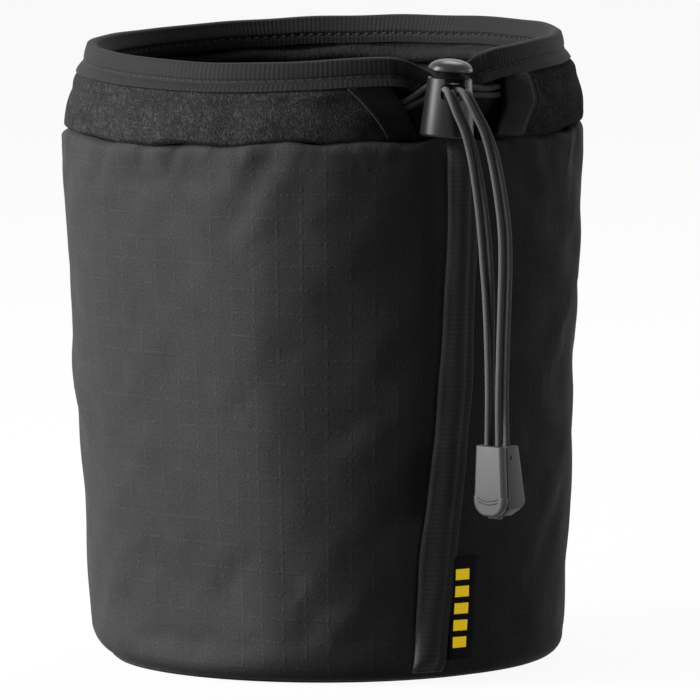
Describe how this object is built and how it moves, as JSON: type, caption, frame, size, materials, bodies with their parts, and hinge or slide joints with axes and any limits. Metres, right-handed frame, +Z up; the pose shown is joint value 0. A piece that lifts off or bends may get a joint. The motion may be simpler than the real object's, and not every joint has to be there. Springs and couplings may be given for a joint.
{
  "type": "drawstring lens pouch",
  "caption": "Padded black cylindrical pouch for a camera lens, with a soft collar that an elastic drawcord gathers, a barrel cord lock and a clamshell cord end.",
  "frame": {"origin": "centre of the base, on the surface that the pouch stands on", "axes": "+Z up along the pouch's axis; -Y is the front, where the collar's notch, the cord lock and the wall's seam are; +X is to the right seen from the front"},
  "size_m": [0.1516, 0.1747, 0.182],
  "materials": {
    "shell_fabric": "black ripstop nylon with a fine square grid and a low sheen",
    "padding": "closed padding, not seen from outside",
    "lining_fabric": "soft brushed lining",
    "collar_fabric": "soft matt knit",
    "binding_tape": "ribbed grosgrain tape with a line of stitches",
    "label_weave": "plain woven label",
    "elastic_cord": "braided cover over an elastic core",
    "lock_plastic": "satin moulded plastic",
    "cord_end_plastic": "satin moulded plastic",
    "spring_steel": "bright wire"
  },
  "bodies": {
    "pouch": {"outer_wall": "shell_fabric", "wall_padding": "padding", "wall_lining": "lining_fabric", "base_outer": "shell_fabric", "base_padding": "padding", "base_lining": "lining_fabric", "collar_outer": "collar_fabric", "collar_facing": "lining_fabric", "rim_binding": "binding_tape", "notch_binding": "binding_tape", "seam_tape": "binding_tape", "side_label": "label_weave", "drawcord_ring_lower": "elastic_cord", "drawcord_ring_upper": "elastic_cord"},
    "cord_lock": {"lock_barrel": "lock_plastic", "lock_spring": "spring_steel", "drawcord_feed_left_upper": "elastic_cord", "drawcord_feed_left_lower": "elastic_cord", "drawcord_feed_right_lower": "elastic_cord", "drawcord_feed_right_upper": "elastic_cord"},
    "lock_plunger": {"lock_plunger": "lock_plastic"},
    "cord_tail": {"drawcord_tail_left_upper": "elastic_cord", "drawcord_tail_left_lower": "elastic_cord", "drawcord_tail_right_lower": "elastic_cord", "drawcord_tail_right_upper": "elastic_cord", "drawcord_knot": "elastic_cord", "cord_end_body": "cord_end_plastic"},
    "cord_end_cover": {"cord_end_cover": "cord_end_plastic"}
  },
  "joints": [
    {"name": "lock_draw", "type": "slide", "parent": "pouch", "child": "cord_lock", "axis": [-0.225, -0.9744, 0], "range_m": [0, 0.015], "stiffness_N_per_m": 60, "deforming": ["drawcord_feed_left_upper", "drawcord_feed_left_lower", "drawcord_feed_right_lower", "drawcord_feed_right_upper"]},
    {"name": "plunger_press", "type": "slide", "parent": "cord_lock", "child": "lock_plunger", "axis": [-0.0578, 0.0133, -0.9982], "range_m": [0, 0.0017], "stiffness_N_per_m": 1500, "deforming": ["lock_spring"]},
    {"name": "tail_swing", "type": "hinge", "parent": "cord_lock", "child": "cord_tail", "pos_m": [-0.00288, -0.08809, 0.1705], "axis": [-0.9744, 0.225, 0], "range_deg": [0, 80]},
    {"name": "clip_open", "type": "hinge", "parent": "cord_tail", "child": "cord_end_cover", "pos_m": [0.00652, -0.09279, 0.05], "axis": [0.3746, -0.9272, 0], "range_deg": [0, 100]}
  ]
}
